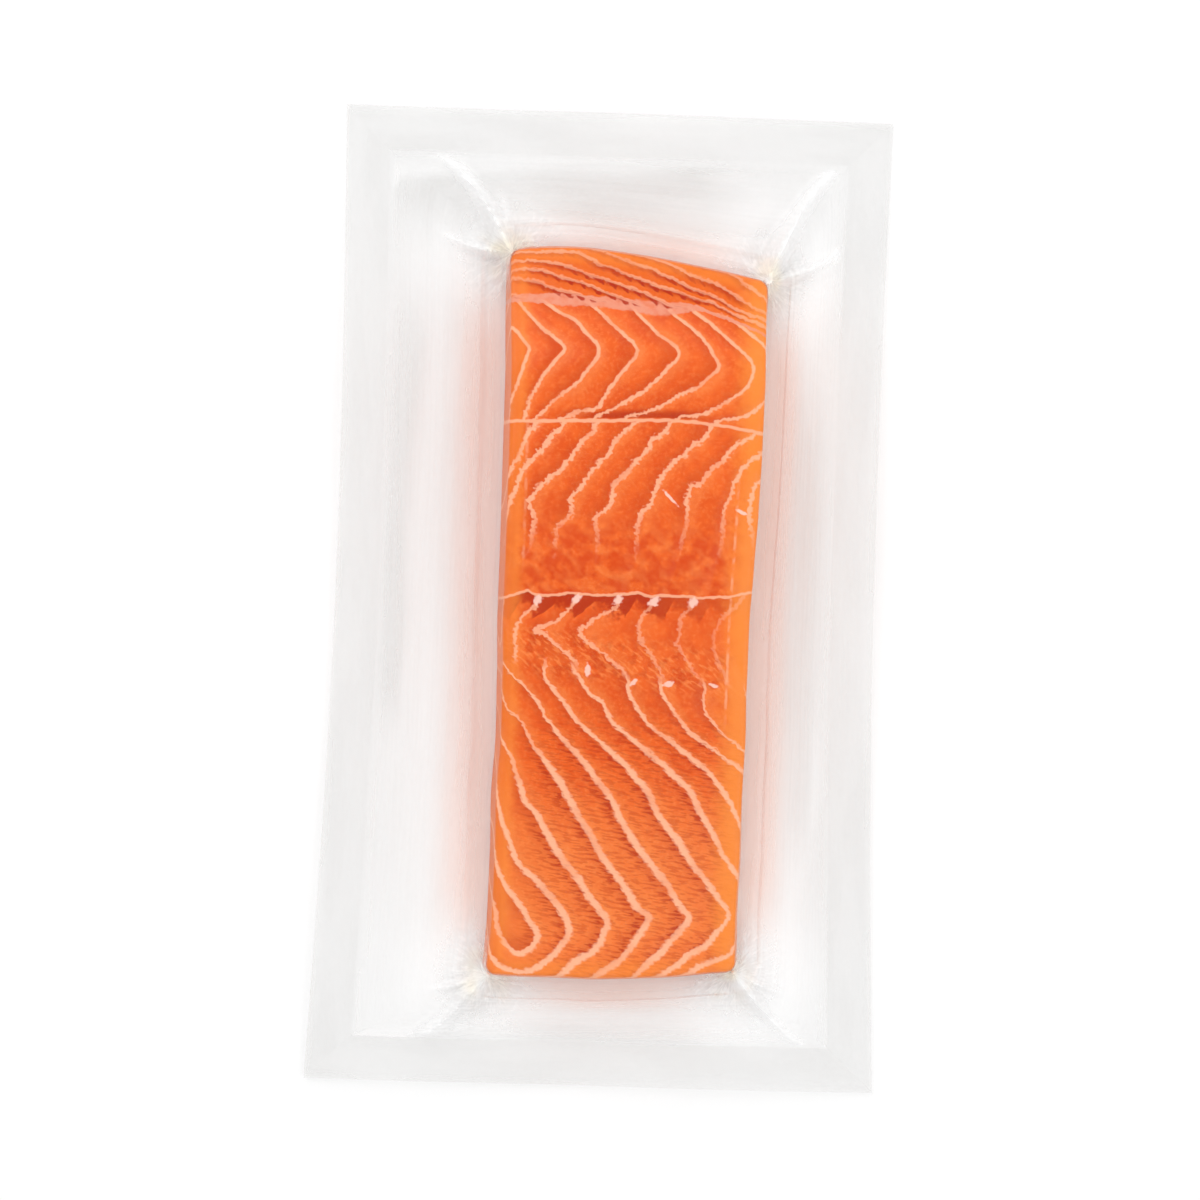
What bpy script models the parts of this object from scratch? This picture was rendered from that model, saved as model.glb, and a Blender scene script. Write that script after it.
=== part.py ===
"""Vacuum pack holding one portion of salmon: a clear heat-sealed pouch drawn tight over the fish.

The pouch lies flat with the fish side up. +X is to the right, +Y towards the loin end, +Z up, in metres.
The origin is under the middle of the pouch, on the surface that it lies on.
"""

import math

import bmesh
import bpy
from mathutils import Vector

MM = 0.001

# Pouch, flat size after the air is drawn out. Corners in the order top left, top right, bottom right, bottom left.
POUCH_CORNERS = (Vector((-64.6, 126.9)), Vector((75.8, 122.4)), Vector((70.2, -126.9)), Vector((-75.8, -122.3)))
POUCH_WIDTH = 143.0
POUCH_LENGTH = 249.0
POUCH_SIDE_BOW = -2.6
SEAL_WIDTH = 11.0
SEAL_STEP = 1.2
MARGIN_THICKNESS = 1.0
SEAL_THICKNESS = 0.7

# Salmon portion: a straight cross cut, thick along the loin and thin along the belly.
FISH_CORNERS = (Vector((-22.6, 88.4)), Vector((42.9, 81.4)), Vector((34.1, -95.4)), Vector((-28.9, -95.7)))
FISH_WIDTH = 64.0
FISH_LENGTH = 180.0
FISH_TOP_BOW = 3.4
FISH_BOTTOM_BOW = 0.8
FISH_SIDE_BOW = -0.8
END_BOW_SKEW = 0.75
END_BOW_FADE = 3
FISH_CORNER_RADIUS = 4.5
TIGHTEST_CORNER = 0.5
LOIN_HEIGHT = 25.0
LOIN_EDGE_HEIGHT = 13.0
BELLY_EDGE_HEIGHT = 11.0
LOIN_EDGE_REACH = 0.17
LOIN_EDGE_ROUNDNESS = 0.7
THICKEST_AT = 0.26
BELLY_FALL_SHARE = 0.86
CROWN_DROP = 1.6
BONE_LINE_AT = 0.475
BONE_LINE_DEPTH = 1.1
BONE_LINE_REACH = 0.035
SEPTUM_AT = 0.23
SEPTUM_DEPTH = 0.6
SEPTUM_REACH = 0.022

# Film over the edge of the fish, from the rounded shoulder down the cut face to the foot.
SHOULDER_RADIUS = 3.2
MOST_SHOULDER_SHARE = 0.4
WALL_SPREAD = 1.6
FOOT_RADIUS = 4.6
BASE_INSET = 1.0
BASE_EDGE_HEIGHT = 0.25

# Height of the film's underside around the fish, and how far it curls up towards the seal.
MARGIN_CLEARANCE = 0.35
MARGIN_CURL = 2.6
SEAL_STARTS = 0.85
CURL_WAVES = 5
CURL_WAVE_SHARE = 0.45
CURL_WAVE_PHASE = 0.8
CORNER_CURL_LOSS = 0.75
CORNER_REACH = 3

# Pleats that run out from the corners of the fish: corner, direction in degrees, length, height and half width.
PLEATS = (
    (0, 128.0, 36.0, 8.0, 4.2),
    (0, 160.0, 22.0, 4.0, 3.4),
    (1, 55.0, 42.0, 9.0, 4.4),
    (1, 24.0, 24.0, 4.5, 3.4),
    (2, -44.0, 32.0, 6.0, 3.8),
    (2, -74.0, 20.0, 3.6, 3.2),
    (3, 218.0, 36.0, 6.5, 4.0),
    (3, 250.0, 20.0, 3.4, 3.2),
)
PLEAT_TAPER = 1.5
PLEAT_SHOULDER_GAP = 1.2

# Mesh: cells across and along the fish, and rings from its shoulder to the rim of the pouch.
CELLS_ACROSS = 18
CELLS_ALONG = 44
END_CROWDING = 0.7
SHOULDER_STEPS = 4
WALL_STEPS = 3
FOOT_STEPS = 3
MARGIN_STEPS = 6
SHARP_ANGLE = math.radians(40)

CLEAR_FILM = (0.93, 0.94, 0.95, 0.35)
FILM_ROUGHNESS = 0.2
SALMON_ORANGE = (0.86, 0.26, 0.09, 1.0)
SALMON_ROUGHNESS = 0.3


def smooth_step(value):
    value = min(max(value, 0.0), 1.0)
    return value * value * (3.0 - 2.0 * value)


def bell(value):
    return math.exp(-value * value)


def crowded(index, count):
    """Share of a side at a grid line, with the lines closer together towards the ends."""
    even = index / count
    most_crowded = 0.5 - 0.5 * math.cos(math.pi * even)
    return even + END_CROWDING * (most_crowded - even)


def in_quad(corners, across, down):
    """Point of a four-cornered outline, at a share across from the left and down from the top."""
    top = corners[0].lerp(corners[1], across)
    bottom = corners[3].lerp(corners[2], across)
    return top.lerp(bottom, down)


def round_corner(x, y, half_width, half_length, radius):
    """Moves a point of a rectangle so that the rectangle's corners become round."""
    centre = Vector((math.copysign(half_width - radius, x), math.copysign(half_length - radius, y)))
    offset = Vector((x, y)) - centre
    if offset.x * x <= 0.0 or offset.y * y <= 0.0:
        return x, y
    square_size = max(abs(offset.x), abs(offset.y))
    moved = centre + offset * (square_size / offset.length)
    return moved.x, moved.y


def fish_point(across, down, grow):
    """Point on the fish's plan, with its outline moved outwards by grow."""
    half_width = FISH_WIDTH / 2 + grow
    half_length = FISH_LENGTH / 2 + grow
    x = (2.0 * across - 1.0) * half_width
    y = (1.0 - 2.0 * down) * half_length
    radius = max(FISH_CORNER_RADIUS + grow, TIGHTEST_CORNER)
    x, y = round_corner(x, y, half_width, half_length, radius)
    across = x / FISH_WIDTH + 0.5
    down = 0.5 - y / FISH_LENGTH
    point = in_quad(FISH_CORNERS, across, down)
    inside_across = min(max(across, 0.0), 1.0)
    inside_down = min(max(down, 0.0), 1.0)
    end_bow = math.sin(math.pi * inside_across ** END_BOW_SKEW)
    point.y += FISH_TOP_BOW * end_bow * (1.0 - inside_down) ** END_BOW_FADE
    point.y -= FISH_BOTTOM_BOW * end_bow * inside_down ** END_BOW_FADE
    side_bow = FISH_SIDE_BOW * math.sin(math.pi * inside_down)
    point.x += side_bow * (2.0 * inside_across - 1.0)
    return point


def pouch_point(across, down, inset):
    """Point on the pouch's plan, with its outline moved inwards by inset."""
    across = 0.5 + (across - 0.5) * (1.0 - 2.0 * inset / POUCH_WIDTH)
    down = 0.5 + (down - 0.5) * (1.0 - 2.0 * inset / POUCH_LENGTH)
    point = in_quad(POUCH_CORNERS, across, down)
    point.x += POUCH_SIDE_BOW * math.sin(math.pi * down) * (2.0 * across - 1.0)
    return point


def fish_height(across, down):
    """Height of the flesh: a steep loin edge, a thick loin, then a long fall to the belly."""
    loin_rise = smooth_step(down / LOIN_EDGE_REACH) ** LOIN_EDGE_ROUNDNESS
    height = LOIN_EDGE_HEIGHT + (LOIN_HEIGHT - LOIN_EDGE_HEIGHT) * loin_rise
    fall = smooth_step(BELLY_FALL_SHARE * (down - THICKEST_AT) / (1.0 - THICKEST_AT))
    height -= (LOIN_HEIGHT - BELLY_EDGE_HEIGHT) * fall
    height -= CROWN_DROP * (2.0 * across - 1.0) ** 2
    height -= BONE_LINE_DEPTH * bell((down - BONE_LINE_AT) / BONE_LINE_REACH)
    height -= SEPTUM_DEPTH * bell((down - SEPTUM_AT) / SEPTUM_REACH)
    return height


def pleat_height(point):
    """Height of the pleats of the upper film over the margin at a point."""
    highest = 0.0
    for corner, degrees, length, height, half_width in PLEATS:
        direction = Vector((math.cos(math.radians(degrees)), math.sin(math.radians(degrees))))
        offset = point - FISH_CORNERS[corner]
        along = min(max(offset.dot(direction), 0.0), length)
        aside = (offset - along * direction).length
        fall = (1.0 - along / length) ** PLEAT_TAPER
        highest = max(highest, height * fall * bell(aside / half_width))
    return highest


def margin_height(across, down, outward):
    """Height of the film's underside in the margin, from the foot of the fish out to the rim."""
    around = math.atan2(0.5 - down, across - 0.5)
    wave = 1.0 + CURL_WAVE_SHARE * math.sin(CURL_WAVES * around + CURL_WAVE_PHASE)
    corner_nearness = (abs(2.0 * across - 1.0) * abs(2.0 * down - 1.0)) ** CORNER_REACH
    curl = MARGIN_CURL * wave * (1.0 - CORNER_CURL_LOSS * corner_nearness)
    return MARGIN_CLEARANCE + curl * smooth_step(outward) * outward


def rim_order():
    """Grid shares around the outline, anticlockwise seen from above, from the bottom left corner."""
    shares_across = [crowded(i, CELLS_ACROSS) for i in range(CELLS_ACROSS + 1)]
    shares_down = [crowded(i, CELLS_ALONG) for i in range(CELLS_ALONG + 1)]
    bottom = [(a, 1.0) for a in shares_across[:-1]]
    right = [(1.0, d) for d in reversed(shares_down[1:])]
    top = [(a, 0.0) for a in reversed(shares_across[1:])]
    left = [(0.0, d) for d in shares_down[:-1]]
    return bottom + right + top + left


def wall_profile(height):
    """Steps of the film over the fish's edge, as pairs of outward distance and height above the foot."""
    foot_height = MARGIN_CLEARANCE + MARGIN_THICKNESS
    shoulder = min(SHOULDER_RADIUS, MOST_SHOULDER_SHARE * height)
    steps = []
    for i in range(1, SHOULDER_STEPS + 1):
        angle = math.pi / 2 * i / SHOULDER_STEPS
        steps.append((shoulder * math.sin(angle) - shoulder, height - shoulder + shoulder * math.cos(angle)))
    wall_top = height - shoulder
    wall_bottom = foot_height + FOOT_RADIUS
    for i in range(1, WALL_STEPS + 1):
        share = i / WALL_STEPS
        steps.append((WALL_SPREAD * share, wall_top + (wall_bottom - wall_top) * share))
    for i in range(1, FOOT_STEPS + 1):
        angle = math.pi / 2 * i / FOOT_STEPS
        outward = WALL_SPREAD + FOOT_RADIUS * (1.0 - math.cos(angle))
        steps.append((outward, foot_height + FOOT_RADIUS * (1.0 - math.sin(angle))))
    return steps


def outer_rings():
    """Rings of the upper film and then of the lower film, each a list of points in millimetres."""
    foot_reach = WALL_SPREAD + FOOT_RADIUS
    margin_top = MARGIN_CLEARANCE + MARGIN_THICKNESS
    upper = [[] for _ in range(SHOULDER_STEPS + WALL_STEPS + FOOT_STEPS + MARGIN_STEPS + 2)]
    lower = [[] for _ in range(MARGIN_STEPS + 3)]
    for across, down in rim_order():
        edge_height = fish_height(across, down)
        ring = 0
        for grow, height in wall_profile(edge_height):
            flat = fish_point(across, down, grow)
            pleat_top = min(margin_top + pleat_height(flat), edge_height - PLEAT_SHOULDER_GAP)
            upper[ring].append(Vector((flat.x, flat.y, max(height, pleat_top))))
            ring += 1
        foot = fish_point(across, down, foot_reach)
        seal = pouch_point(across, down, SEAL_WIDTH)
        lower[0].append(Vector((*fish_point(across, down, BASE_INSET), BASE_EDGE_HEIGHT)))
        for step in range(MARGIN_STEPS + 1):
            share = step / MARGIN_STEPS
            flat = foot.lerp(seal, share)
            under = margin_height(across, down, SEAL_STARTS * share)
            lower[step + 1].append(Vector((flat.x, flat.y, under)))
            if step > 0:
                over = under + MARGIN_THICKNESS + pleat_height(flat)
                upper[ring].append(Vector((flat.x, flat.y, over)))
                ring += 1
        for inset, outward in ((SEAL_WIDTH - SEAL_STEP, SEAL_STARTS), (0.0, 1.0)):
            flat = pouch_point(across, down, inset)
            under = margin_height(across, down, outward)
            upper[ring].append(Vector((flat.x, flat.y, under + SEAL_THICKNESS)))
            ring += 1
        lower[-1].append(Vector((flat.x, flat.y, under)))
    return upper, lower


def add_grid(mesh):
    """Top of the fish, as a grid of cells. Returns its outer ring of vertices."""
    rows = []
    for j in range(CELLS_ALONG + 1):
        row = []
        for i in range(CELLS_ACROSS + 1):
            across, down = crowded(i, CELLS_ACROSS), crowded(j, CELLS_ALONG)
            flat = fish_point(across, down, -SHOULDER_RADIUS)
            row.append(mesh.verts.new((flat.x, flat.y, fish_height(across, down))))
        rows.append(row)
    for upper_row, lower_row in zip(rows, rows[1:]):
        for i in range(CELLS_ACROSS):
            mesh.faces.new((upper_row[i], lower_row[i], lower_row[i + 1], upper_row[i + 1]))
    bottom = rows[-1][:-1]
    right = [row[-1] for row in reversed(rows[1:])]
    top = rows[0][:0:-1]
    left = [row[0] for row in rows[:-1]]
    return bottom + right + top + left


def bridge(mesh, inner, outer):
    """Faces between two rings of the same count, pointing up where outer is the wider ring."""
    count = len(inner)
    for i in range(count):
        following = (i + 1) % count
        mesh.faces.new((inner[i], outer[i], outer[following], inner[following]))


def material(name, colour, roughness):
    made = bpy.data.materials.new(name)
    made.use_nodes = True
    shader = made.node_tree.nodes["Principled BSDF"]
    shader.inputs["Base Color"].default_value = colour
    shader.inputs["Alpha"].default_value = colour[3]
    shader.inputs["Roughness"].default_value = roughness
    shader.inputs["Metallic"].default_value = 0.0
    return made


def build_pack():
    mesh = bmesh.new()
    previous = add_grid(mesh)
    fish_faces = len(mesh.faces)
    upper, lower = outer_rings()
    for points in upper:
        ring = [mesh.verts.new(point) for point in points]
        bridge(mesh, previous, ring)
        previous = ring
    for points in reversed(lower):
        ring = [mesh.verts.new(point) for point in points]
        bridge(mesh, previous, ring)
        previous = ring
    base = [mesh.verts.new((vertex.co.x, vertex.co.y, 0.0)) for vertex in previous]
    bridge(mesh, previous, base)
    mesh.faces.new(base[::-1])
    bmesh.ops.recalc_face_normals(mesh, faces=mesh.faces)
    mesh.faces.ensure_lookup_table()
    wall_faces = (SHOULDER_STEPS + WALL_STEPS) * len(base)
    for face in mesh.faces[: fish_faces + wall_faces]:
        face.material_index = 1
    bmesh.ops.scale(mesh, vec=(MM, MM, MM), verts=mesh.verts)
    data = bpy.data.meshes.new("salmon_vacuum_pack")
    mesh.to_mesh(data)
    mesh.free()
    data.materials.append(material("clear film", CLEAR_FILM, FILM_ROUGHNESS))
    data.materials.append(material("salmon under film", SALMON_ORANGE, SALMON_ROUGHNESS))
    data.shade_smooth()
    data.set_sharp_from_angle(angle=SHARP_ANGLE)
    pack = bpy.data.objects.new("salmon_vacuum_pack", data)
    bpy.context.scene.collection.objects.link(pack)
    return pack


for old in list(bpy.data.objects):
    bpy.data.objects.remove(old, do_unlink=True)
build_pack()
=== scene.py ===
import math

import bpy
import numpy as np
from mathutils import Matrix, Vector


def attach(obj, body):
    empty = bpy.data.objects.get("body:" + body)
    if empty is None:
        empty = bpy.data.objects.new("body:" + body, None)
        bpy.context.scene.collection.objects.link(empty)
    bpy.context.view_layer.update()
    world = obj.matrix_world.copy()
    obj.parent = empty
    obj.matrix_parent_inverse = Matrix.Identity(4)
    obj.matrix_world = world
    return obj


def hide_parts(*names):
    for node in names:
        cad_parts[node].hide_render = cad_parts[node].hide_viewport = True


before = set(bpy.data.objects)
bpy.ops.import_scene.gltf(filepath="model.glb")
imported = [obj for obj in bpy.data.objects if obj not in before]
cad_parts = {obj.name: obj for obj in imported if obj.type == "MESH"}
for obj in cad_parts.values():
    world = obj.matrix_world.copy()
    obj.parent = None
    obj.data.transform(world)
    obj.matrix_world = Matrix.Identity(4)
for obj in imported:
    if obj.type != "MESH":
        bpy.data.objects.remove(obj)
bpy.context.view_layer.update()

mm = 0.001
packNode = "salmon_vacuum_pack"

# The pack's form, in millimetres, as its solid has it but with sharper edges.
# Corners run top left, top right, bottom right, bottom left.
packForm = {
    "pouchCorners": ((-64.6, 126.9), (75.8, 122.4), (70.2, -126.9), (-75.8, -122.3)),
    "pouchSize": (143.0, 249.0),
    "pouchSideBow": -2.6,
    "sealWidth": 11.0,
    "fishCorners": ((-22.6, 88.4), (42.9, 81.4), (34.1, -95.4), (-28.9, -95.7)),
    "fishSize": (64.0, 180.0),
    "fishTopBow": 3.4,
    "fishBottomBow": 0.8,
    "fishSideBow": -0.8,
    "bowSkew": 0.75,
    "bowFade": 3,
    "fishCornerRadius": 2.4,
    "loinHeight": 25.0,
    "loinEdgeHeight": 13.0,
    "bellyEdgeHeight": 11.0,
    "loinEdgeReach": 0.17,
    "loinEdgeRoundness": 0.7,
    "thickestAt": 0.26,
    "bellyFallShare": 0.86,
    "crownDrop": 1.6,
    "boneLine": (0.475, 1.1, 0.035),  # place along the fish, depth, reach
    "septum": (0.23, 0.6, 0.022),
    "outlineWander": (0.5, 15.0),  # how far the cut edges wander, and over what length
    "shoulderRadius": 1.9,
    "wallSpread": 1.6,
    "footRadius": 4.6,
    "marginClearance": 0.35,
    "marginCurl": 2.6,
    "sealStarts": 0.85,
    "curlWaves": (5, 0.45, 0.8),  # count round the pack, share of the curl, phase
    "cornerCurlLoss": 0.75,
}


def smoothStep(value):
    value = np.clip(value, 0.0, 1.0)
    return value * value * (3.0 - 2.0 * value)


def bell(value):
    return np.exp(-value * value)


def softNoise(x, y, size, seed):  # smooth random values from -1 to 1, about size apart
    cells = 256
    lattice = np.random.default_rng(seed).uniform(-1.0, 1.0, (cells, cells))
    u, v = x / size, y / size
    i, j = np.floor(u).astype(int), np.floor(v).astype(int)
    a, b = smoothStep(u - i), smoothStep(v - j)
    i, j, nextI, nextJ = i % cells, j % cells, (i + 1) % cells, (j + 1) % cells
    near = lattice[i, j] * (1 - a) + lattice[nextI, j] * a
    far = lattice[i, nextJ] * (1 - a) + lattice[nextI, nextJ] * a
    return near * (1 - b) + far * b


def crowded(even, crowding):  # draws even shares of a side towards its two ends
    return even + crowding * (0.5 - 0.5 * np.cos(np.pi * even) - even)


def inQuad(corners, across, down):
    topLeft, topRight, bottomRight, bottomLeft = np.array(corners)
    across, down = across[:, None], down[:, None]
    top = topLeft + (topRight - topLeft) * across
    bottom = bottomLeft + (bottomRight - bottomLeft) * across
    return top + (bottom - top) * down


def roundCorner(x, y, halfWidth, halfLength, radius):  # turns a rectangle's corners into arcs
    centreX, centreY = np.sign(x) * (halfWidth - radius), np.sign(y) * (halfLength - radius)
    offX, offY = x - centreX, y - centreY
    inCorner = (offX * x > 0) & (offY * y > 0)
    far = np.maximum(np.hypot(offX, offY), 1e-9)
    scale = np.where(inCorner, np.maximum(abs(offX), abs(offY)) / far, 1.0)
    return np.where(inCorner, centreX + offX * scale, x), np.where(inCorner, centreY + offY * scale, y)


def fishPlan(across, down, grow):  # the fish's outline seen from above, moved outwards by grow
    width, length = packForm["fishSize"]
    halfWidth, halfLength = width / 2 + grow, length / 2 + grow
    radius = np.maximum(packForm["fishCornerRadius"] + grow, 0.5)
    x, y = (2 * across - 1) * halfWidth, (1 - 2 * down) * halfLength
    x, y = roundCorner(x, y, halfWidth, halfLength, radius)
    across, down = x / width + 0.5, 0.5 - y / length
    plan = inQuad(packForm["fishCorners"], across, down)
    inAcross, inDown = np.clip(across, 0, 1), np.clip(down, 0, 1)
    endBow = np.sin(np.pi * inAcross ** packForm["bowSkew"])
    plan[:, 1] += packForm["fishTopBow"] * endBow * (1 - inDown) ** packForm["bowFade"]
    plan[:, 1] -= packForm["fishBottomBow"] * endBow * inDown ** packForm["bowFade"]
    plan[:, 0] += packForm["fishSideBow"] * np.sin(np.pi * inDown) * (2 * inAcross - 1)
    wander, span = packForm["outlineWander"]
    sideways, lengthways = 2 * inAcross - 1, 1 - 2 * inDown
    apart = 70.0  # keeps the wander of two opposite edges different
    wanderX = softNoise(inDown * length, np.sign(sideways) * apart, span, 51)
    wanderY = softNoise(inAcross * width, np.sign(lengthways) * apart, span, 52)
    plan[:, 0] += wander * abs(sideways) ** 4 * wanderX
    plan[:, 1] += wander * abs(lengthways) ** 9 * wanderY
    return plan


def pouchPlan(across, down, inset):  # the pouch's outline, moved inwards by inset
    width, length = packForm["pouchSize"]
    across = 0.5 + (across - 0.5) * (1 - 2 * inset / width)
    down = 0.5 + (down - 0.5) * (1 - 2 * inset / length)
    plan = inQuad(packForm["pouchCorners"], across, down)
    plan[:, 0] += packForm["pouchSideBow"] * np.sin(np.pi * down) * (2 * across - 1)
    return plan


def fishHeight(across, down):  # steep loin edge, thick loin, long fall to the belly
    form = packForm
    rise = smoothStep(down / form["loinEdgeReach"]) ** form["loinEdgeRoundness"]
    height = form["loinEdgeHeight"] + (form["loinHeight"] - form["loinEdgeHeight"]) * rise
    fall = smoothStep(form["bellyFallShare"] * (down - form["thickestAt"]) / (1 - form["thickestAt"]))
    height = height - (form["loinHeight"] - form["bellyEdgeHeight"]) * fall
    height = height - form["crownDrop"] * (2 * across - 1) ** 2
    for place, depth, reach in (form["boneLine"], form["septum"]):
        height = height - depth * bell((down - place) / reach)
    return height


def heading(degrees):
    return math.cos(math.radians(degrees)), math.sin(math.radians(degrees))


def sideProfile(ring, counts, top, radius, spread, footRadius, footAt):  # how far out, and how high
    shoulder, wall, foot = counts  # down the fish's side; a foot of negative radius turns inwards
    turn = np.clip(ring / shoulder, 0, 1) * np.pi / 2
    grow = radius * (np.sin(turn) - 1)
    height = top - radius * (1 - np.cos(turn))
    along = np.clip((ring - shoulder) / wall, 0, 1)
    height = np.where(ring > shoulder, top - radius + (footAt - top + radius) * along, height)
    turn = np.clip((ring - shoulder - wall) / foot, 0, 1) * np.pi / 2
    height = np.where(ring > shoulder + wall, footAt - abs(footRadius) * np.sin(turn), height)
    return grow + spread * along + footRadius * (1 - np.cos(turn)), height


# Mesh helpers

mergeDistance = 0.00001
sharpAngle = math.radians(55)


def tray(name, cellsAcross, cellsAlong, rings):  # a grid whose border is pulled up: z counts the rings
    bpy.ops.object.select_all(action="DESELECT")
    bpy.ops.mesh.primitive_grid_add(x_subdivisions=cellsAcross, y_subdivisions=cellsAlong, size=2)
    made = bpy.context.object
    made.name = made.data.name = name
    bpy.ops.object.mode_set(mode="EDIT")
    bpy.ops.mesh.select_mode(type="EDGE")
    bpy.ops.mesh.select_all(action="SELECT")
    bpy.ops.mesh.region_to_loop()
    for _ in range(rings):
        bpy.ops.mesh.extrude_edges_move(TRANSFORM_OT_translate={"value": (0, 0, 1)})
    bpy.ops.object.mode_set(mode="OBJECT")
    return made


def readPoints(piece):
    points = np.empty(len(piece.data.vertices) * 3)
    piece.data.vertices.foreach_get("co", points)
    return points.reshape(-1, 3)


def gridShares(piece, crowding):  # shares across and down, and the ring, of each point of a tray
    start = readPoints(piece)
    across, down = crowded((start[:, 0] + 1) / 2, crowding), crowded((1 - start[:, 1]) / 2, crowding)
    return across, down, np.round(start[:, 2])


def placePoints(piece, points):  # points in millimetres
    piece.data.vertices.foreach_set("co", (points * mm).ravel())
    piece.data.update()


def giveValues(piece, name, values):  # three values at each point, for the material to read
    kept = piece.data.attributes.new(name, "FLOAT_VECTOR", "POINT")
    kept.data.foreach_set("vector", np.column_stack(values).astype(np.float32).ravel())


def joinRims(upper, lower):  # one closed piece of two sheets whose rims meet
    bpy.ops.object.select_all(action="DESELECT")
    upper.select_set(True)
    lower.select_set(True)
    bpy.context.view_layer.objects.active = upper
    bpy.ops.object.join()
    bpy.ops.object.mode_set(mode="EDIT")
    bpy.ops.mesh.select_all(action="SELECT")
    bpy.ops.mesh.remove_doubles(threshold=mergeDistance)
    bpy.ops.mesh.normals_make_consistent(inside=False)
    bpy.ops.object.mode_set(mode="OBJECT")
    bpy.ops.object.shade_smooth_by_angle(angle=sharpAngle)
    return upper


# Shader helpers

class Value:  # a socket on which sums add Math nodes
    def __init__(self, shader, socket):
        self.shader = shader
        self.socket = socket

    def maths(self, operation, *others):
        return self.shader.node("ShaderNodeMath", {"operation": operation}, [self, *others])

    def __add__(self, other):
        return self.maths("ADD", other)

    def __sub__(self, other):
        return self.maths("SUBTRACT", other)

    def __rsub__(self, other):
        return self.shader.node("ShaderNodeMath", {"operation": "SUBTRACT"}, [other, self])

    def __mul__(self, other):
        return self.maths("MULTIPLY", other)

    def __truediv__(self, other):
        return self.maths("DIVIDE", other)

    def __pow__(self, other):
        return self.maths("POWER", other)

    def __abs__(self):
        return self.maths("ABSOLUTE")

    __radd__ = __add__
    __rmul__ = __mul__

    def smooth(self, low, high):  # 0 at low, 1 at high, eased between
        inputs = {"Value": self, "From Min": low, "From Max": high}
        return self.shader.node("ShaderNodeMapRange", {"interpolation_type": "SMOOTHSTEP"}, inputs)

    def largest(self, other):
        return self.maths("MAXIMUM", other)

    def smallest(self, other):
        return self.maths("MINIMUM", other)


class Shader:  # one material and its nodes
    def __init__(self, name):
        self.material = bpy.data.materials.new(name)
        self.material.use_nodes = True
        self.tree = self.material.node_tree
        self.principled = self.tree.nodes["Principled BSDF"]
        self.place = self.node("ShaderNodeTexCoord", {}, {}, "Object")

    def node(self, kind, settings, inputs, output=0):
        made = self.tree.nodes.new(kind)
        for key, setting in settings.items():
            setattr(made, key, setting)
        self.fill(made, inputs)
        return Value(self, made.outputs[output])

    def fill(self, made, inputs):
        pairs = inputs.items() if isinstance(inputs, dict) else enumerate(inputs)
        for key, value in pairs:
            if isinstance(value, Value):
                self.tree.links.new(value.socket, made.inputs[key])
            else:
                made.inputs[key].default_value = value

    def values(self, name):  # a piece's attribute, as its three values
        vector = self.node("ShaderNodeAttribute", {"attribute_name": name}, {}, "Vector")
        return [self.node("ShaderNodeSeparateXYZ", {}, [vector], i) for i in range(3)]

    def vector(self, x, y, z):
        return self.node("ShaderNodeCombineXYZ", {}, [x, y, z])

    def noise(self, vector, scale, detail=2.0, roughness=0.5, dimensions="3D"):
        inputs = {"Vector": vector, "Scale": scale, "Detail": detail, "Roughness": roughness}
        return self.node("ShaderNodeTexNoise", {"noise_dimensions": dimensions}, inputs)

    def mix(self, share, first, second):  # colours: first at 0, second at 1
        made = self.tree.nodes.new("ShaderNodeMix")
        made.data_type = "RGBA"
        self.fill(made, {0: share, 6: first, 7: second})
        return Value(self, made.outputs[2])

    def bump(self, height, distance, strength=1.0):
        return self.node("ShaderNodeBump", {}, {"Height": height, "Distance": distance, "Strength": strength})


def colour(red, green, blue):  # from 0 to 255 as seen on a screen, to light
    def light(value):
        value /= 255
        return value / 12.92 if value <= 0.04045 else ((value + 0.055) / 1.055) ** 2.4
    return (light(red), light(green), light(blue), 1.0)


# Camera, light and floor, first

stageSet = {
    "cameraPlace": (-0.057, 0.007, 1.3),  # the photograph looks down from a little to the left
    "cameraAim": (0.0, 0.0, 0.006),
    "lens": 152.0,
    "floorSize": 4.0,
    "floorGap": 0.0002,
    "floorColour": (0.94, 0.94, 0.94, 1.0),
    "worldStrength": 0.74,
    "worldColour": (1.0, 1.0, 1.0, 1.0),
    "lights": (  # place, size, power
        ((-0.65, 0.8, 1.35), (1.1, 0.9), 7.0),
        ((0.85, -0.6, 1.3), (0.9, 0.9), 4.8),
        ((0.1, 1.2, 0.8), (1.4, 0.3), 3.0),
    ),
}


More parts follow.
